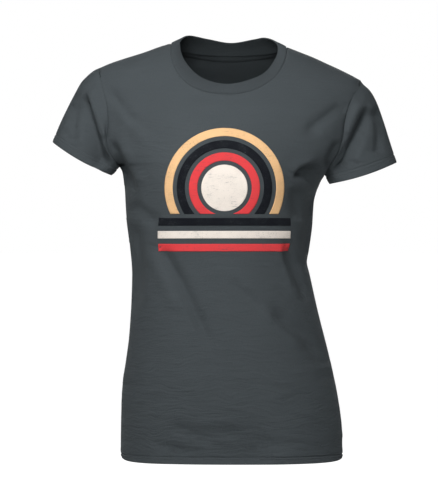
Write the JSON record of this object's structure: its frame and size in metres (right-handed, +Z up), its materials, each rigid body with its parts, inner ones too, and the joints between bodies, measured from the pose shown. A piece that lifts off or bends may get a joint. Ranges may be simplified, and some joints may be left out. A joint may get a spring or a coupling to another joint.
{
  "type": "t-shirt",
  "caption": "Women's fitted short-sleeve T-shirt with a ribbed crew neck, in its worn shape, with a printed emblem on the chest.",
  "frame": {"origin": "midway between the two neck points of the shoulder seams, where the shirt rests on a body form's shoulders", "axes": "+Z up, -Y towards the wearer's front, +X towards the wearer's left; the side and shoulder seams lie at y = 0"},
  "size_m": [0.512, 0.2434, 0.6345],
  "materials": {
    "jersey": "matt single jersey knit, charcoal grey",
    "rib": "matt one-by-one rib knit, charcoal grey",
    "tape": "matt knitted tape, charcoal grey",
    "ink_cream": "thin soft screen print",
    "ink_coral": "thin soft screen print",
    "ink_navy": "thin soft screen print",
    "ink_sand": "thin soft screen print"
  },
  "bodies": {
    "root": {"front_panel": "jersey", "back_panel": "jersey", "right_sleeve": "jersey", "left_sleeve": "jersey", "bottom_hem": "jersey", "right_sleeve_hem": "jersey", "left_sleeve_hem": "jersey", "neckband": "rib", "neck_tape": "tape", "right_shoulder_seam": "tape", "left_shoulder_seam": "tape", "right_armhole_seam": "jersey", "left_armhole_seam": "jersey", "right_side_seam": "jersey", "left_side_seam": "jersey", "print_cream": "ink_cream", "print_coral": "ink_coral", "print_navy": "ink_navy", "print_sand": "ink_sand"}
  },
  "joints": []
}
